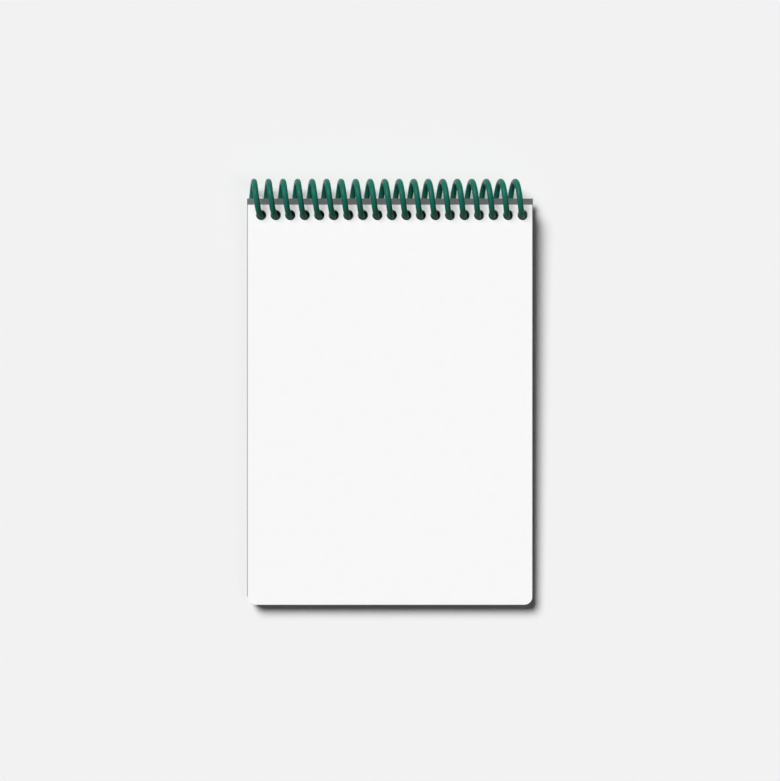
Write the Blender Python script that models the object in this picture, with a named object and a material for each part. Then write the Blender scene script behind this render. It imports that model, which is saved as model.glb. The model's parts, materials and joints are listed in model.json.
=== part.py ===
"""Pocket notebook, bound at its head on one plastic coil.

A stiff back board, a block of leaves and a card cover are punched in one row and held by a helical wire.
Every sheet is divided at its tear line into a panel, which swings about the coil's axis, and a punched stub,
which also creeps sideways along the wire as it swings. The pad lies as it does on a table: on the underside
of the coil and on the foot of its board, so it leans a little. Metres, +Z up, the head towards +Y.
"""

from math import asin, atan2, ceil, cos, degrees, floor, hypot, pi, radians, sin, sqrt

import bpy
import numpy as np
from mathutils import Vector

# Sheets
SHEET_WIDTH = 0.105
SHEET_LENGTH = 0.1474
LEAF_COUNT = 12
LEAF_THICKNESS = 0.00024
COVER_THICKNESS = 0.0004
SHEET_GAP = 0.0001
CORNER_RADIUS = 0.003

# Back board
BOARD_THICKNESS = 0.0009
BOARD_HEAD_REACH = 0.0005
BOARD_SIDE_REACH = 0.0005
BOARD_FOOT_SETBACK = 0.0004

# Coil
WIRE_DIAMETER = 0.00215
COIL_PITCH = 0.00535
COIL_ROOM = 0.0052
AXIS_HEIGHT = 0.0039
RIGHT_END_ANGLE = radians(60)
LEFT_END_ANGLE = radians(100)
CRIMP_RADIUS = 0.0015
CRIMP_LENGTH = 0.001

# Punched row
HOLE_PLAY = 0.00165
HOLE_MARGIN = 0.0036
HOLE_TO_HEAD = 0.0038

# Tear line
TEAR_ROOM = 0.002
TEAR_GAP = 0.0001

# Facets
COIL_POINTS_PER_TURN = 24
BOARD_HOLE_SIDES = 16
COVER_HOLE_SIDES = 12
LEAF_HOLE_SIDES = 8
CORNER_STEPS = 5
CRIMP_STEPS = 3

# Worked out from the above, in the pad's own frame: origin on the coil's axis, y to the head, z off the cover
LEAF_STEP = LEAF_THICKNESS + SHEET_GAP
BOARD_BOTTOM = -AXIS_HEIGHT
BOARD_TOP = BOARD_BOTTOM + BOARD_THICKNESS
LEAVES_BOTTOM = BOARD_TOP + SHEET_GAP
COVER_BOTTOM = LEAVES_BOTTOM + LEAF_COUNT * LEAF_STEP
STACK_TOP = COVER_BOTTOM + COVER_THICKNESS
STACK_THICKNESS = STACK_TOP - BOARD_BOTTOM
STACK_MIDDLE = (STACK_TOP + BOARD_BOTTOM) / 2

WIRE_RADIUS = WIRE_DIAMETER / 2
COIL_RADIUS = (STACK_THICKNESS + COIL_ROOM) / 2 + WIRE_RADIUS
COIL_OUTSIDE = COIL_RADIUS + WIRE_RADIUS
HOLE_RADIUS = WIRE_RADIUS + HOLE_PLAY / 2
HOLE_COUNT = floor((SHEET_WIDTH - 2 * HOLE_MARGIN) / COIL_PITCH) + 1
LAST_HOLE_X = SHEET_WIDTH / 2 - HOLE_MARGIN
HOLE_XS = [LAST_HOLE_X - i * COIL_PITCH for i in range(HOLE_COUNT)]


def wire_reach(height):
    """How far the wire's centre is from the coil's axis, towards the foot, at this height."""
    return sqrt(COIL_RADIUS**2 - height**2)


WIRE_FARTHEST = wire_reach(min(max(0, LEAVES_BOTTOM), STACK_TOP))
WIRE_NEAREST = min(wire_reach(LEAVES_BOTTOM), wire_reach(STACK_TOP))
SHEET_HOLE_Y = -(WIRE_FARTHEST + WIRE_NEAREST) / 2
SHEET_HEAD_Y = SHEET_HOLE_Y + HOLE_TO_HEAD
SHEET_FOOT_Y = SHEET_HEAD_Y - SHEET_LENGTH
TEAR_Y = -(COIL_OUTSIDE + TEAR_ROOM)
BOARD_HOLE_Y = -wire_reach((BOARD_BOTTOM + BOARD_TOP) / 2)
BOARD_FOOT_Y = SHEET_FOOT_Y + BOARD_FOOT_SETBACK

# The wire stands in the middle of its holes halfway up the stack
CENTRED_ANGLE = asin(STACK_MIDDLE / COIL_RADIUS)

# The lean that puts the coil's underside and the board's foot on one table
FOOT_DISTANCE = hypot(BOARD_FOOT_Y, BOARD_BOTTOM)
LEAN = asin(COIL_OUTSIDE / FOOT_DISTANCE) - atan2(-BOARD_BOTTOM, -BOARD_FOOT_Y)
PAD_FOOT = -SHEET_FOOT_Y * cos(LEAN) + STACK_TOP * sin(LEAN)
AXIS_PLACE = Vector((0, (PAD_FOOT - COIL_OUTSIDE) / 2, COIL_OUTSIDE))


def material(name, colour, roughness, specular=0.5):
    made = bpy.data.materials.new(name)
    made.use_nodes = True
    shader = made.node_tree.nodes["Principled BSDF"]
    shader.inputs["Base Color"].default_value = (*colour, 1)
    shader.inputs["Roughness"].default_value = roughness
    shader.inputs["Specular IOR Level"].default_value = specular
    made.diffuse_color = (*colour, 1)
    return made


def placed(name, data, height, look):
    """Adds an object to the notebook at a height in the pad's frame."""
    data.materials.append(look)
    made = bpy.data.objects.new(name, data)
    made.parent = coil_axis
    made.location = (0, 0, height)
    notebook.objects.link(made)
    return made


def add_loop(curve, points):
    """Closes a flat loop through these points in a curve."""
    loop = curve.splines.new("POLY")
    loop.points.add(len(points) - 1)
    for spot, (x, y) in zip(loop.points, points):
        spot.co = (x, y, 0, 1)
    loop.use_cyclic_u = True


def circle(x, y, radius, sides):
    """A polygon with its flats square to the wire's run from head to foot."""
    turns = [2 * pi * (k + 0.5) / sides for k in range(sides)]
    return [(x + radius * cos(turn), y + radius * sin(turn)) for turn in turns]


def sheet_outline(half, head, foot, radius):
    """A sheet's outline from head to foot, with its two foot corners rounded when a radius is given."""
    if not radius:
        return [(half, head), (-half, head), (-half, foot), (half, foot)]
    turns = [pi / 2 * k / CORNER_STEPS for k in range(CORNER_STEPS + 1)]
    left = [(radius - half - radius * cos(t), foot + radius - radius * sin(t)) for t in turns]
    right = [(-x, y) for x, y in reversed(left)]
    return [(half, head), (-half, head), *left, *right]


def flat_piece(name, outline, holes, bottom, thickness, look):
    """A sheet of even thickness, cut from an outline with holes in it."""
    curve = bpy.data.curves.new(name, "CURVE")
    curve.dimensions = "2D"
    curve.fill_mode = "BOTH"
    curve.extrude = thickness / 2
    for points in (outline, *holes):
        add_loop(curve, points)
    return placed(name, curve, bottom + thickness / 2, look)


def punched_row(y, sides):
    return [circle(x, y, HOLE_RADIUS, sides) for x in HOLE_XS]


def turning_sheet(name, bottom, thickness, hole_sides, look):
    """A sheet in its two pieces: the panel below the tear line and the punched stub above it."""
    half = SHEET_WIDTH / 2
    panel = sheet_outline(half, TEAR_Y - TEAR_GAP / 2, SHEET_FOOT_Y, CORNER_RADIUS)
    stub = sheet_outline(half, SHEET_HEAD_Y, TEAR_Y + TEAR_GAP / 2, 0)
    flat_piece(name, panel, [], bottom, thickness, look)
    flat_piece(f"{name}_stub", stub, punched_row(SHEET_HOLE_Y, hole_sides), bottom, thickness, look)


def helix_point(angle):
    """The wire's centre at an angle that grows from the last hole, up over the cover and on to the left."""
    x = LAST_HOLE_X - COIL_PITCH * (angle - CENTRED_ANGLE) / (2 * pi)
    return np.array([x, -COIL_RADIUS * cos(angle), COIL_RADIUS * sin(angle)])


def helix_heading(angle):
    """The unit direction of the wire as its angle grows."""
    heading = np.array([-COIL_PITCH / (2 * pi), COIL_RADIUS * sin(angle), COIL_RADIUS * cos(angle)])
    return heading / np.linalg.norm(heading)


def crimp(end, heading, inward):
    """The wire's end, turned through a right angle to lie along the coil and back over its neighbour."""
    turns = [pi / 2 * k / CRIMP_STEPS for k in range(1, CRIMP_STEPS + 1)]
    bend = [end + CRIMP_RADIUS * (sin(t) * heading + (1 - cos(t)) * inward) for t in turns]
    return [*bend, bend[-1] + CRIMP_LENGTH * inward]


def coil_route():
    """The wire's centre line from its right end to its left end, both crimped under the board."""
    first = -RIGHT_END_ANGLE
    last = 2 * pi * HOLE_COUNT - pi + LEFT_END_ANGLE
    steps = ceil((last - first) / (2 * pi) * COIL_POINTS_PER_TURN)
    turns = [helix_point(angle) for angle in np.linspace(first, last, steps + 1)]
    right = crimp(turns[0], -helix_heading(first), np.array([-1.0, 0, 0]))
    left = crimp(turns[-1], helix_heading(last), np.array([1.0, 0, 0]))
    return np.array([*reversed(right), *turns, *left])


def least_self_gap(route):
    """The least clearance between stretches of the wire that are over half a turn apart along it."""
    apart = COIL_POINTS_PER_TURN // 2
    distances = np.linalg.norm(route[:, None] - route[None], axis=2)
    far = np.abs(np.subtract.outer(np.arange(len(route)), np.arange(len(route)))) >= apart
    return distances[far].min() - WIRE_DIAMETER


def add_coil(look):
    route = coil_route()
    curve = bpy.data.curves.new("coil", "CURVE")
    curve.dimensions = "3D"
    curve.bevel_depth = WIRE_RADIUS
    curve.bevel_resolution = 1
    curve.use_fill_caps = True
    wire = curve.splines.new("POLY")
    wire.points.add(len(route) - 1)
    for spot, place in zip(wire.points, route):
        spot.co = (*place, 1)
    wire.use_smooth = True
    print(f"coil: {HOLE_COUNT} loops, least gap to itself {least_self_gap(route) * 1000:.2f} mm")
    return placed("coil", curve, 0, look)


for left_over in list(bpy.data.objects):
    bpy.data.objects.remove(left_over)

notebook = bpy.data.collections.new("pocket_notebook")
bpy.context.scene.collection.children.link(notebook)

coil_axis = bpy.data.objects.new("coil_axis", None)
coil_axis.empty_display_size = COIL_OUTSIDE
coil_axis.location = AXIS_PLACE
coil_axis.rotation_euler = (LEAN, 0, 0)
notebook.objects.link(coil_axis)

green_plastic = material("extruded green plastic wire", (0.03, 0.21, 0.15), 0.28)
grey_board = material("dyed grey board", (0.136, 0.138, 0.138), 0.85, 0.3)
white_card = material("smooth white card", (0.91, 0.91, 0.91), 0.6, 0.4)
white_paper = material("uncoated white paper", (0.87, 0.87, 0.86), 0.9, 0.3)

add_coil(green_plastic)
flat_piece(
    "back_board",
    sheet_outline(SHEET_WIDTH / 2 + BOARD_SIDE_REACH, BOARD_HEAD_REACH, BOARD_FOOT_Y, CORNER_RADIUS),
    punched_row(BOARD_HOLE_Y, BOARD_HOLE_SIDES),
    BOARD_BOTTOM,
    BOARD_THICKNESS,
    grey_board,
)
for number in range(1, LEAF_COUNT + 1):
    leaf_bottom = LEAVES_BOTTOM + (LEAF_COUNT - number) * LEAF_STEP
    turning_sheet(f"leaf_{number:02d}", leaf_bottom, LEAF_THICKNESS, LEAF_HOLE_SIDES, white_paper)
turning_sheet("front_cover", COVER_BOTTOM, COVER_THICKNESS, COVER_HOLE_SIDES, white_card)

print(
    f"stack {STACK_THICKNESS * 1000:.2f} mm, coil {COIL_OUTSIDE * 2000:.2f} mm across, lean {degrees(LEAN):.4f} deg, "
    f"axis at y {AXIS_PLACE.y:.6f} z {AXIS_PLACE.z:.6f}"
)
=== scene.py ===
# Looks for a head-bound pocket notebook: punched white sheets and a grey board on a green plastic coil.
import json
import math
import random

import bmesh
import bpy
import numpy as np
from mathutils import Matrix, Vector


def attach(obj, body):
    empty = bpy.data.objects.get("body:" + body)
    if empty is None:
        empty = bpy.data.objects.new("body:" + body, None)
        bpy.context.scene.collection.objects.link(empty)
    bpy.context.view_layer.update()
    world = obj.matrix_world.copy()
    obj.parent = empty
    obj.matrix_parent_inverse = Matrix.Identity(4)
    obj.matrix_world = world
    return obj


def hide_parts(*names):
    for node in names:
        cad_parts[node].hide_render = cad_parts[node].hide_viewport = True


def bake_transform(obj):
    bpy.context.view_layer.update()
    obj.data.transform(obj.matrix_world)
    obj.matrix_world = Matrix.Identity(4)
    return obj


mm = 0.001
uvSpan = 100  # mm of sheet to one unit of its UV map

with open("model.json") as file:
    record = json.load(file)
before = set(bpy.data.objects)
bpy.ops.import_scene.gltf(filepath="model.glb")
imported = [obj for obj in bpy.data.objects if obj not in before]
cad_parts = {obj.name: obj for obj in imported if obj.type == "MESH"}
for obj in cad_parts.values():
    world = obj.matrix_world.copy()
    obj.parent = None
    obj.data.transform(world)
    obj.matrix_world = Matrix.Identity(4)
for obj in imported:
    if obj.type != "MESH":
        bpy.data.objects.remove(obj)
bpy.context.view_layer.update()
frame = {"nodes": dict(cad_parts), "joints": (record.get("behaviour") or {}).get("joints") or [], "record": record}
print("frame:", len(frame["nodes"]), "nodes loaded")

# The pad's own frame: origin on the coil's axis, y towards the bound head, z off the cover
coverTurn = next(j for j in frame["joints"] if j["name"] == "cover_turn")
backFace = next(m for m in frame["record"]["mounts"] if m["name"] == "back_face")
lean = math.atan2(backFace["axis"][1], -backFace["axis"][2])
padFrame = Matrix.Translation(coverTurn["pos_m"]) @ Matrix.Rotation(lean, 4, "X")


def padBox(nodeName):  # a CAD node's lowest and highest corner in the pad's own frame
    toPad = padFrame.inverted()
    spots = np.array([toPad @ v.co for v in frame["nodes"][nodeName].data.vertices])
    return Vector(spots.min(0)), Vector(spots.max(0))


def linear(hexColour):  # sRGB hex to linear RGBA
    channels = [int(hexColour[i : i + 2], 16) / 255 for i in (1, 3, 5)]
    return (*[c / 12.92 if c <= 0.04045 else ((c + 0.055) / 1.055) ** 2.4 for c in channels], 1)


# One node with its settings, input values and links (a Mix node takes its two colours at inputs 6 and 7
# and gives its own at output 2)
def addNode(tree, kind, inputs, **settings):
    made = tree.nodes.new(kind)
    for name, value in settings.items():
        setattr(made, name, value)
    for name, value in inputs.items():
        if isinstance(value, bpy.types.NodeSocket):
            tree.links.new(value, made.inputs[name])
        else:
            made.inputs[name].default_value = value
    return made


def bareMaterial(name):  # a material with nothing in its tree yet
    made = bpy.data.materials.new(name)
    made.use_nodes = True
    made.node_tree.nodes.clear()
    return made


# PVC filament, extruded and wound hot round a mandrel: a smooth skin with a soft gloss, a little uneven
# along its length, so its highlights are broad and waver slightly
pvcFilament = {
    "deep": "#135d4e",
    "pale": "#196b5a",
    "driftSize": 9,  # mm, slow change of tone along the filament
    "skinSize": 0.5,  # mm, orange peel from the die, drawn coarser than it is so that it shows
    "skinDepth": 0.01,  # mm
    "roughness": (0.26, 0.36),
    "specular": 0.06,  # low, so that little of the pale room shows in the filament
    "ior": 1.53,
}


def makePvcFilament(s):
    made = bareMaterial("PVC filament extruded")
    tree = made.node_tree
    place = addNode(tree, "ShaderNodeTexCoord", {}).outputs["Object"]
    drift = addNode(
        tree,
        "ShaderNodeTexNoise",
        {"Vector": place, "Scale": 1 / (s["driftSize"] * mm), "Detail": 3},
    )
    skin = addNode(
        tree,
        "ShaderNodeTexNoise",
        {"Vector": place, "Scale": 1 / (s["skinSize"] * mm), "Detail": 2},
    )
    tone = addNode(
        tree,
        "ShaderNodeMix",
        {"Factor": drift.outputs["Fac"], 6: linear(s["deep"]), 7: linear(s["pale"])},
        data_type="RGBA",
    )
    gloss = addNode(
        tree,
        "ShaderNodeMapRange",
        {"Value": drift.outputs["Fac"], "To Min": s["roughness"][0], "To Max": s["roughness"][1]},
    )
    bump = addNode(
        tree,
        "ShaderNodeBump",
        {"Height": skin.outputs["Fac"], "Distance": s["skinDepth"] * mm},
    )
    shader = addNode(
        tree,
        "ShaderNodeBsdfPrincipled",
        {
            "Base Color": tone.outputs[2],
            "Roughness": gloss.outputs["Result"],
            "Normal": bump.outputs["Normal"],
            "IOR": s["ior"],
            "Specular IOR Level": s["specular"],
        },
    )
    addNode(tree, "ShaderNodeOutputMaterial", {"Surface": shader.outputs["BSDF"]})
    return made


# White card, calendered between rollers: nearly even, with the faint cloudiness of fibre seen against
# the light and a fine tooth, so it stays matt and holds no clear reflection
whiteCard = {
    "name": "white card calendered",
    "cloud": "#f7f7f7",
    "clear": "#fbfbfb",
    "cloudSize": 4,  # mm between clumps of fibre
    "toothSize": 0.45,  # mm, drawn coarser than the real fibres so that it shows
    "toothDepth": 0.012,  # mm
    "roughness": 0.75,
    "specular": 0.1,
}

# Uncoated writing paper, ruled by offset printing and perforated for tearing off: warmer and rougher
# than the card, with thin blue-grey lines that sink into the fibre
ruledPaper = {
    "name": "writing paper uncoated and ruled",
    "cloud": "#efeee9",
    "clear": "#f6f5f1",
    "cloudSize": 3,  # mm
    "toothSize": 0.35,  # mm, drawn coarser than the real fibres, as on the card
    "toothDepth": 0.016,  # mm
    "roughness": 0.9,
    "specular": 0.08,
    "line": "#b4c2d2",
    "lineStep": 7,  # mm
    "lineWidth": 0.32,  # mm, drawn wider than it is printed so that it shows
    "lineStart": -25,  # mm from the coil's axis to the first line
    "lineMargin": 0.5,  # mm clear of ink and cuts at each side, so that none shows on the sheet's edge
    "cut": "#b3b2ac",
    "cutStep": 1.6,  # mm from one perforation to the next
    "cutLength": 1.0,  # mm
    "cutWidth": 0.2,  # mm
}


def paperTone(tree, place, s):  # the clouded white of pressed fibre, and the bump of its tooth
    clumps = addNode(
        tree,
        "ShaderNodeTexNoise",
        {"Vector": place, "Scale": uvSpan / s["cloudSize"], "Detail": 4},
    )
    tooth = addNode(
        tree,
        "ShaderNodeTexNoise",
        {"Vector": place, "Scale": uvSpan / s["toothSize"], "Detail": 3},
    )
    tone = addNode(
        tree,
        "ShaderNodeMix",
        {"Factor": clumps.outputs["Fac"], 6: linear(s["cloud"]), 7: linear(s["clear"])},
        data_type="RGBA",
    )
    bump = addNode(
        tree,
        "ShaderNodeBump",
        {"Height": tooth.outputs["Fac"], "Distance": s["toothDepth"] * mm},
    )
    return tone.outputs[2], bump.outputs["Normal"]


def finishPaper(tree, s, colour, normal):  # the matt shader that card, paper and board share
    shader = addNode(
        tree,
        "ShaderNodeBsdfPrincipled",
        {
            "Base Color": colour,
            "Normal": normal,
            "Roughness": s["roughness"],
            "Specular IOR Level": s["specular"],
        },
    )
    addNode(tree, "ShaderNodeOutputMaterial", {"Surface": shader.outputs["BSDF"]})


def makeWhiteCard(s):
    made = bareMaterial(s["name"])
    place = addNode(made.node_tree, "ShaderNodeUVMap", {}, uv_map="sheet").outputs["UV"]
    finishPaper(made.node_tree, s, *paperTone(made.node_tree, place, s))
    return made


def makeRuledPaper(s):
    made = bareMaterial(s["name"])
    tree = made.node_tree
    place = addNode(tree, "ShaderNodeUVMap", {}, uv_map="sheet").outputs["UV"]
    tone, normal = paperTone(tree, place, s)
    axes = addNode(tree, "ShaderNodeSeparateXYZ", {"Vector": place}).outputs

    # ruled lines: how far down the sheet, and how far from the nearest line there
    below = addNode(
        tree,
        "ShaderNodeMath",
        {0: s["lineStart"] / uvSpan, 1: axes["Y"]},
        operation="SUBTRACT",
    )
    nearest = addNode(
        tree,
        "ShaderNodeMath",
        {0: below.outputs[0], 1: s["lineStep"] / 2 / uvSpan},
        operation="PINGPONG",
    )
    thin = addNode(
        tree,
        "ShaderNodeMath",
        {0: nearest.outputs[0], 1: s["lineWidth"] / 2 / uvSpan},
        operation="LESS_THAN",
    )
    started = addNode(
        tree,
        "ShaderNodeMath",
        {0: below.outputs[0], 1: -s["lineWidth"] / uvSpan},
        operation="GREATER_THAN",
    )
    across = addNode(tree, "ShaderNodeMath", {0: axes["X"]}, operation="ABSOLUTE")
    inside = addNode(
        tree,
        "ShaderNodeMath",
        {0: across.outputs[0], 1: (sheetHalf / mm - s["lineMargin"]) / uvSpan},
        operation="LESS_THAN",
    )
    printed = addNode(
        tree,
        "ShaderNodeMath",
        {0: started.outputs[0], 1: inside.outputs[0]},
        operation="MULTIPLY",
    )
    ruled = addNode(
        tree,
        "ShaderNodeMath",
        {0: thin.outputs[0], 1: printed.outputs[0]},
        operation="MULTIPLY",
    )
    lined = addNode(
        tree,
        "ShaderNodeMix",
        {"Factor": ruled.outputs[0], 6: tone, 7: linear(s["line"])},
        data_type="RGBA",
    )

    # perforations: short cuts along the tear line
    offLine = addNode(
        tree,
        "ShaderNodeMath",
        {0: axes["Y"], 1: tearLine / mm / uvSpan},
        operation="SUBTRACT",
    )
    away = addNode(tree, "ShaderNodeMath", {0: offLine.outputs[0]}, operation="ABSOLUTE")
    onLine = addNode(
        tree,
        "ShaderNodeMath",
        {0: away.outputs[0], 1: s["cutWidth"] / 2 / uvSpan},
        operation="LESS_THAN",
    )
    along = addNode(
        tree,
        "ShaderNodeMath",
        {0: axes["X"], 1: s["cutStep"] / uvSpan},
        operation="FLOORED_MODULO",
    )
    inCut = addNode(
        tree,
        "ShaderNodeMath",
        {0: along.outputs[0], 1: s["cutLength"] / uvSpan},
        operation="LESS_THAN",
    )
    dashes = addNode(
        tree,
        "ShaderNodeMath",
        {0: onLine.outputs[0], 1: inCut.outputs[0]},
        operation="MULTIPLY",
    )
    cuts = addNode(
        tree,
        "ShaderNodeMath",
        {0: dashes.outputs[0], 1: inside.outputs[0]},
        operation="MULTIPLY",
    )
    perforated = addNode(
        tree,
        "ShaderNodeMix",
        {"Factor": cuts.outputs[0], 6: lined.outputs[2], 7: linear(s["cut"])},
        data_type="RGBA",
    )
    finishPaper(tree, s, perforated.outputs[2], normal)
    return made


# Greyboard, dyed through and pressed from pulp: a flat dark grey flecked with short paler fibres, with a
# dry felt-like surface and no gloss
greyBoard = {
    "name": "greyboard dyed and pressed",
    "cloud": "#6f7070",
    "clear": "#797a7a",
    "fleck": "#929392",
    "cloudSize": 2.5,  # mm
    "toothSize": 0.4,  # mm, drawn coarser than the real fibres, as on the card
    "toothDepth": 0.03,  # mm
    "fleckSize": 0.9,  # mm between fibres
    "fleckShare": 0.16,  # of fleckSize, how far from a fibre's middle the fleck fades out
    "fleckStrength": 0.55,  # how much of the fleck's colour shows at the middle
    "roughness": 0.9,
    "specular": 0.1,
}


def makeGreyBoard(s):
    made = bareMaterial(s["name"])
    tree = made.node_tree
    place = addNode(tree, "ShaderNodeUVMap", {}, uv_map="sheet").outputs["UV"]
    tone, normal = paperTone(tree, place, s)
    fibres = addNode(tree, "ShaderNodeTexVoronoi", {"Vector": place, "Scale": uvSpan / s["fleckSize"]})
    near = addNode(
        tree,
        "ShaderNodeMapRange",
        {
            "Value": fibres.outputs["Distance"],
            "From Max": s["fleckShare"],
            "To Min": s["fleckStrength"],
            "To Max": 0,
        },
    )
    flecked = addNode(
        tree,
        "ShaderNodeMix",
        {"Factor": near.outputs["Result"], 6: tone, 7: linear(s["fleck"])},
        data_type="RGBA",
    )
    finishPaper(tree, s, flecked.outputs[2], normal)
    return made


# What the wire and the punched row share, in mm
binding = {
    "wireDiameter": 2.15,
    "pitch": 5.35,
    "holeDiameter": 3.8,
    "holeMargin": 3.6,  # from the last hole's middle to the right edge
    "holeToHead": 3.8,
}
coilRadius = coverTurn["pos_m"][2] - binding["wireDiameter"] / 2 * mm
boardLow, boardHigh = padBox("back_board")
coverLow, coverHigh = padBox("front_cover")
stubLow, stubHigh = padBox("front_cover_stub")
halfWidth = coverHigh.x
tearLine = (stubLow.y + coverHigh.y) / 2
stackMiddle = (boardLow.z + coverHigh.z) / 2
lastHole = halfWidth - binding["holeMargin"] * mm
holeCount = int(2 * lastHole / (binding["pitch"] * mm)) + 1
holeXs = [lastHole - i * binding["pitch"] * mm for i in range(holeCount)]

# How the meshes of card, board and leaves are finished
sheetMesh = {
    "edgeSteps": 1,  # bevel resolution of a rounded edge
    "weld": 0.002,  # mm, corners closer than this are one
    "sharpAngle": 40,  # degrees between faces that shade apart
    "flatLimit": 0.99,  # how squarely a face has to look up or down to be shaded flat
}


def sheetOutline(half, head, foot, radius, steps):  # anticlockwise, square at the head, round at the foot
    turns = [math.pi / 2 * k / steps for k in range(steps + 1)]
    left = [(radius - half - radius * math.cos(t), foot + radius - radius * math.sin(t)) for t in turns]
    right = [(-x, y) for x, y in reversed(left)]
    return [(half, head), (-half, head), *left, *right]


def holeRing(x, y, sides):  # clockwise, against the outline, so that a rounded edge turns into the hole
    radius = binding["holeDiameter"] / 2 * mm
    turns = [-2 * math.pi * k / sides for k in range(sides)]
    return [(x + radius * math.cos(t), y + radius * math.sin(t)) for t in turns]


def cutSheet(outline, holeY, holeSides, thickness, edge):  # one punched sheet as a mesh, its middle at z 0
    curve = bpy.data.curves.new("cutSheet", "CURVE")
    curve.dimensions = "2D"
    curve.fill_mode = "BOTH"
    curve.extrude = thickness / 2 - edge
    curve.bevel_depth = edge
    curve.bevel_resolution = sheetMesh["edgeSteps"]
    curve.offset = -edge
    for loop in [outline, *[holeRing(x, holeY, holeSides) for x in holeXs]]:
        spline = curve.splines.new("POLY")
        spline.points.add(len(loop) - 1)
        for point, (x, y) in zip(spline.points, loop):
            point.co = (x, y, 0, 1)
        spline.use_cyclic_u = True
    holder = bpy.data.objects.new("cutSheet", curve)
    bpy.context.scene.collection.objects.link(holder)
    graph = bpy.context.evaluated_depsgraph_get()
    mesh = bpy.data.meshes.new_from_object(holder.evaluated_get(graph))
    bpy.data.objects.remove(holder)
    bpy.data.curves.remove(curve)
    return mesh


def sheetPiece(name, mesh, layers, material):  # the same cut sheet laid at each (x, y, z) of its layers
    pile = bmesh.new()
    for place in layers:
        start = len(pile.verts)
        pile.from_mesh(mesh)
        pile.verts.ensure_lookup_table()
        bmesh.ops.translate(pile, verts=pile.verts[start:], vec=place)
    bmesh.ops.remove_doubles(pile, verts=pile.verts, dist=sheetMesh["weld"] * mm)
    bmesh.ops.recalc_face_normals(pile, faces=pile.faces)
    flat = pile.loops.layers.uv.new("sheet")
    for face in pile.faces:
        for corner in face.loops:
            corner[flat].uv = corner.vert.co.xy / mm / uvSpan
    bmesh.ops.transform(pile, matrix=padFrame, verts=pile.verts)
    made = bpy.data.meshes.new(name)
    pile.to_mesh(made)
    pile.free()
    made.materials.append(material)
    made.shade_smooth()
    made.set_sharp_from_angle(angle=math.radians(sheetMesh["sharpAngle"]))
    for face in made.polygons:  # a flat face stays flat right up to its rounded edge
        face.use_smooth = abs(face.normal.dot(padFrame.col[2].xyz)) < sheetMesh["flatLimit"]
    piece = bpy.data.objects.new(name, made)
    bpy.context.scene.collection.objects.link(piece)
    return piece


def turnsWith(piece, nodeName):  # a sheet piece put in place of its CAD node and that node's stub
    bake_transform(piece)
    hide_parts(nodeName, f"{nodeName}_stub")
    piece.visible_diffuse = False  # so bright a sheet would throw a pale halo on the table round it


# Green coil
coilWire = {
    "pointsPerTurn": 48,
    "roundness": 5,  # bevel resolution of the wire's section
    "rightEnd": 60,  # degrees from the last hole to where the wire is crimped, under the board
    "leftEnd": 100,  # degrees on from the crest behind the first hole, to a crimp under the board
    "crimpRadius": 1.5,  # mm
    "crimpLength": 1.0,  # mm
    "crimpSteps": 8,
}


def coilPoint(angle):  # grows from the last hole, up over the cover and on to the left
    centred = math.asin(stackMiddle / coilRadius)
    x = lastHole - binding["pitch"] * mm * (angle - centred) / (2 * math.pi)
    return Vector((x, -coilRadius * math.cos(angle), coilRadius * math.sin(angle)))


def coilHeading(angle):  # the wire's direction as its angle grows
    drop = binding["pitch"] * mm / (2 * math.pi)
    return Vector((-drop, coilRadius * math.sin(angle), coilRadius * math.cos(angle))).normalized()


def crimpedEnd(end, heading, inward, s):  # a quarter turn, then a short straight along the coil
    radius = s["crimpRadius"] * mm
    turns = [math.pi / 2 * (k + 1) / s["crimpSteps"] for k in range(s["crimpSteps"])]
    bend = [end + radius * (math.sin(t) * heading + (1 - math.cos(t)) * inward) for t in turns]
    return [*bend, bend[-1] + s["crimpLength"] * mm * inward]


def makeCoil(s, material):
    first = -math.radians(s["rightEnd"])
    last = 2 * math.pi * holeCount - math.pi + math.radians(s["leftEnd"])
    steps = math.ceil((last - first) / (2 * math.pi) * s["pointsPerTurn"])
    wound = [coilPoint(first + (last - first) * k / steps) for k in range(steps + 1)]
    rightEnd = crimpedEnd(wound[0], -coilHeading(first), Vector((-1, 0, 0)), s)
    leftEnd = crimpedEnd(wound[-1], coilHeading(last), Vector((1, 0, 0)), s)
    route = [padFrame @ point for point in [*reversed(rightEnd), *wound, *leftEnd]]

    curve = bpy.data.curves.new("coil_wire", "CURVE")
    curve.dimensions = "3D"
    curve.bevel_depth = binding["wireDiameter"] / 2 * mm
    curve.bevel_resolution = s["roundness"]
    curve.use_fill_caps = True
    wire = curve.splines.new("POLY")
    wire.points.add(len(route) - 1)
    for point, place in zip(wire.points, route):
        point.co = (*place, 1)
    wire.use_smooth = True
    curve.materials.append(material)
    piece = bpy.data.objects.new("coil_wire", curve)
    bpy.context.scene.collection.objects.link(piece)
    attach(piece, "pad")
    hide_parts("coil")
    print("coil:", holeCount, "loops,", len(route), "points")
    return piece


coil = makeCoil(coilWire, makePvcFilament(pvcFilament))

# Back board
boardCut = {
    "cornerRadius": 3,  # mm, at the foot
    "cornerSteps": 10,
    "edge": 0.1,  # mm, radius of the cut edge
    "holeSides": 28,
}


def makeBoard(s, material):
    middle = (boardLow.z + boardHigh.z) / 2
    holeY = -math.sqrt(coilRadius**2 - middle**2)
    outline = sheetOutline(boardHigh.x, boardHigh.y, boardLow.y, s["cornerRadius"] * mm, s["cornerSteps"])
    mesh = cutSheet(outline, holeY, s["holeSides"], boardHigh.z - boardLow.z, s["edge"] * mm)
    piece = sheetPiece("back_board_sheet", mesh, [(0, 0, middle)], material)
    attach(piece, "pad")
    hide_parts("back_board")
    print("board:", len(piece.data.polygons), "faces")


makeBoard(boardCut, makeGreyBoard(greyBoard))

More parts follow.
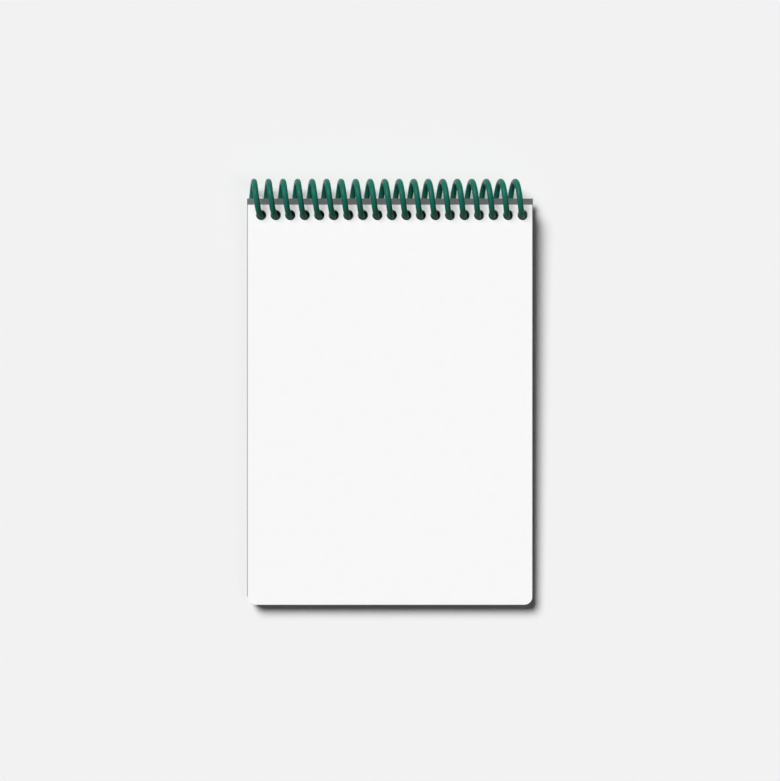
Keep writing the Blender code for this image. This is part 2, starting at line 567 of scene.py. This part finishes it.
# Front cover
coverCut = {
    "cornerRadius": 3,  # mm, at the foot
    "cornerSteps": 10,
    "edge": 0.05,  # mm, radius of the cut edge
    "holeSides": 28,
    "trim": 0.1,  # mm that the guillotine takes off the sides and the foot of the card and the leaves
}
sheetHoleY = stubHigh.y - binding["holeToHead"] * mm
sheetHalf = halfWidth - coverCut["trim"] * mm
sheetFoot = coverLow.y + coverCut["trim"] * mm


def makeCover(s, material):
    outline = sheetOutline(sheetHalf, stubHigh.y, sheetFoot, s["cornerRadius"] * mm, s["cornerSteps"])
    mesh = cutSheet(outline, sheetHoleY, s["holeSides"], coverHigh.z - coverLow.z, s["edge"] * mm)
    piece = sheetPiece("front_cover_sheet", mesh, [(0, 0, (coverLow.z + coverHigh.z) / 2)], material)
    turnsWith(piece, "front_cover")
    print("cover:", len(piece.data.polygons), "faces")


makeCover(coverCut, makeWhiteCard(whiteCard))

# Leaves: each CAD leaf is shown as the few thin sheets that it stands for, jogged a little out of line
leafCut = {
    "cornerRadius": 3,  # mm, at the foot
    "cornerSteps": 8,
    "holeSides": 16,
    "sheetsPerLeaf": 3,
    "gapShare": 0.3,  # of a sheet's pitch that is air
    "jog": 0.08,  # mm, most that a sheet is out of line
    "seed": 7,
}


def makeLeaves(s, material):
    jogs = random.Random(s["seed"])
    names = sorted(n for n in frame["nodes"] if n.startswith("leaf_") and not n.endswith("_stub"))
    heights = [padBox(n)[0].z for n in names]
    sheetPitch = (heights[0] - heights[-1]) / (len(names) - 1) / s["sheetsPerLeaf"]
    thickness = sheetPitch * (1 - s["gapShare"])
    reach = s["jog"] * mm
    outline = sheetOutline(
        sheetHalf - reach,
        stubHigh.y - reach,
        sheetFoot + reach,
        s["cornerRadius"] * mm,
        s["cornerSteps"],
    )
    mesh = cutSheet(outline, sheetHoleY, s["holeSides"], thickness, 0)
    for name, bottom in zip(names, heights):
        layers = [
            (
                jogs.uniform(-reach, reach),
                jogs.uniform(-reach, reach),
                bottom + thickness / 2 + k * sheetPitch,
            )
            for k in range(s["sheetsPerLeaf"])
        ]
        piece = sheetPiece(f"{name}_sheets", mesh, layers, material)
        turnsWith(piece, name)
    print("leaves:", len(names), "of", s["sheetsPerLeaf"], "sheets,", round(thickness / mm, 3), "mm each")


makeLeaves(leafCut, makeRuledPaper(ruledPaper))

# Table, light and camera
studio = {
    "table": "#f2f2f2",
    "tableSize": 6,  # m
    "backdrop": "#f2f2f2",
    "sky": "#ffffff",
    "skyShare": 0.01,  # share of the light on a level surface that comes from all round
    # for each lamp: its share of the light on a level surface, degrees across, degrees from upright towards
    # the left and towards the head, and what the wire does: shades the rest, lets it past or is lit alone
    "lamps": {
        "key": (0.51, 29, 27.6, 34, "shades"),
        "keyPastWire": (0.42, 29, 27.6, 34, "letsPast"),  # so that the wire's own shadows stay faint
        "fill": (0.06, 24, -32, -16, "shades"),
        "cardGlow": (0.028, 60, 0, -80, "alone"),  # what the bright card throws back on the wire
    },
}


def makeTable(s):
    made = bareMaterial("table laminate matt")  # a plain pale sheet with no gloss
    shader = addNode(
        made.node_tree,
        "ShaderNodeBsdfPrincipled",
        {"Base Color": linear(s["table"]), "Roughness": 1, "Specular IOR Level": 0},
    )
    addNode(made.node_tree, "ShaderNodeOutputMaterial", {"Surface": shader.outputs["BSDF"]})
    bpy.ops.mesh.primitive_plane_add(size=s["tableSize"])
    table = bpy.context.object
    table.name = "table"
    table.data.materials.append(made)
    print("table:", s["tableSize"], "m across")


def makeLight(s, wire):
    world = bpy.data.worlds.new("studio")
    bpy.context.scene.world = world
    world.use_nodes = True
    tree = world.node_tree
    tree.nodes.clear()
    rays = addNode(tree, "ShaderNodeLightPath", {}).outputs
    seen = addNode(
        tree,
        "ShaderNodeMath",
        {0: rays["Is Camera Ray"], 1: rays["Is Glossy Ray"]},
        operation="MAXIMUM",
    )
    shown = addNode(
        tree,
        "ShaderNodeMath",
        {0: seen.outputs[0], 1: rays["Is Transmission Ray"]},
        operation="MAXIMUM",
    )
    sky = addNode(tree, "ShaderNodeBackground", {"Color": linear(s["sky"]), "Strength": s["skyShare"]})
    backdrop = addNode(tree, "ShaderNodeBackground", {"Color": linear(s["backdrop"]), "Strength": 1})
    both = addNode(
        tree,
        "ShaderNodeMixShader",
        {0: shown.outputs[0], 1: sky.outputs[0], 2: backdrop.outputs[0]},
    )
    addNode(tree, "ShaderNodeOutputWorld", {"Surface": both.outputs[0]})

    wireAlone = bpy.data.collections.new("wire alone")
    wireAlone.objects.link(wire)
    allButWire = bpy.data.collections.new("all but the wire")
    allButWire.objects.link(wire)
    allButWire.collection_objects[0].light_linking.link_state = "EXCLUDE"
    for name, (share, across, side, head, wirePart) in s["lamps"].items():
        slopes = math.tan(math.radians(side)), math.tan(math.radians(head))
        towards = Vector((-slopes[0], slopes[1], 1)).normalized()
        light = bpy.data.lights.new(name, "SUN")
        light.energy = math.pi * share / towards.z
        light.angle = math.radians(across)
        lamp = bpy.data.objects.new(name, light)
        lamp.location = towards  # a sun has no place, so this only shows where it shines from
        lamp.rotation_mode = "QUATERNION"
        lamp.rotation_quaternion = towards.to_track_quat("Z", "Y")
        if wirePart == "letsPast":
            lamp.light_linking.blocker_collection = allButWire
        elif wirePart == "alone":
            lamp.light_linking.blocker_collection = wireAlone
            lamp.light_linking.receiver_collection = wireAlone
        bpy.context.scene.collection.objects.link(lamp)
    print("light:", len(s["lamps"]), "lamps and a sky")


makeTable(studio)
makeLight(studio, coil)

# The camera stands square over the cover, as in the photograph
shot = {
    "lens": 83,  # mm
    "sensor": 36,  # mm
    "pixels": 781,  # the photograph's longer side
    "sheetPixels": 284.66,  # how wide the cover is there
    "aimY": -70.67,  # mm from the coil's axis to the point below the lens
}


def makeCamera(s):
    focal = s["pixels"] * s["lens"] / s["sensor"]
    distance = focal * 2 * sheetHalf / s["sheetPixels"]
    lens = bpy.data.cameras.new("camera")
    lens.lens = s["lens"]
    lens.sensor_width = s["sensor"]
    camera = bpy.data.objects.new("camera", lens)
    camera.matrix_world = padFrame @ Matrix.Translation((0, s["aimY"] * mm, coverHigh.z + distance))
    bpy.context.scene.collection.objects.link(camera)
    bpy.context.scene.camera = camera
    print("camera:", round(distance / mm, 1), "mm above the cover")


makeCamera(shot)
bpy.context.scene.view_settings.view_transform = "Standard"
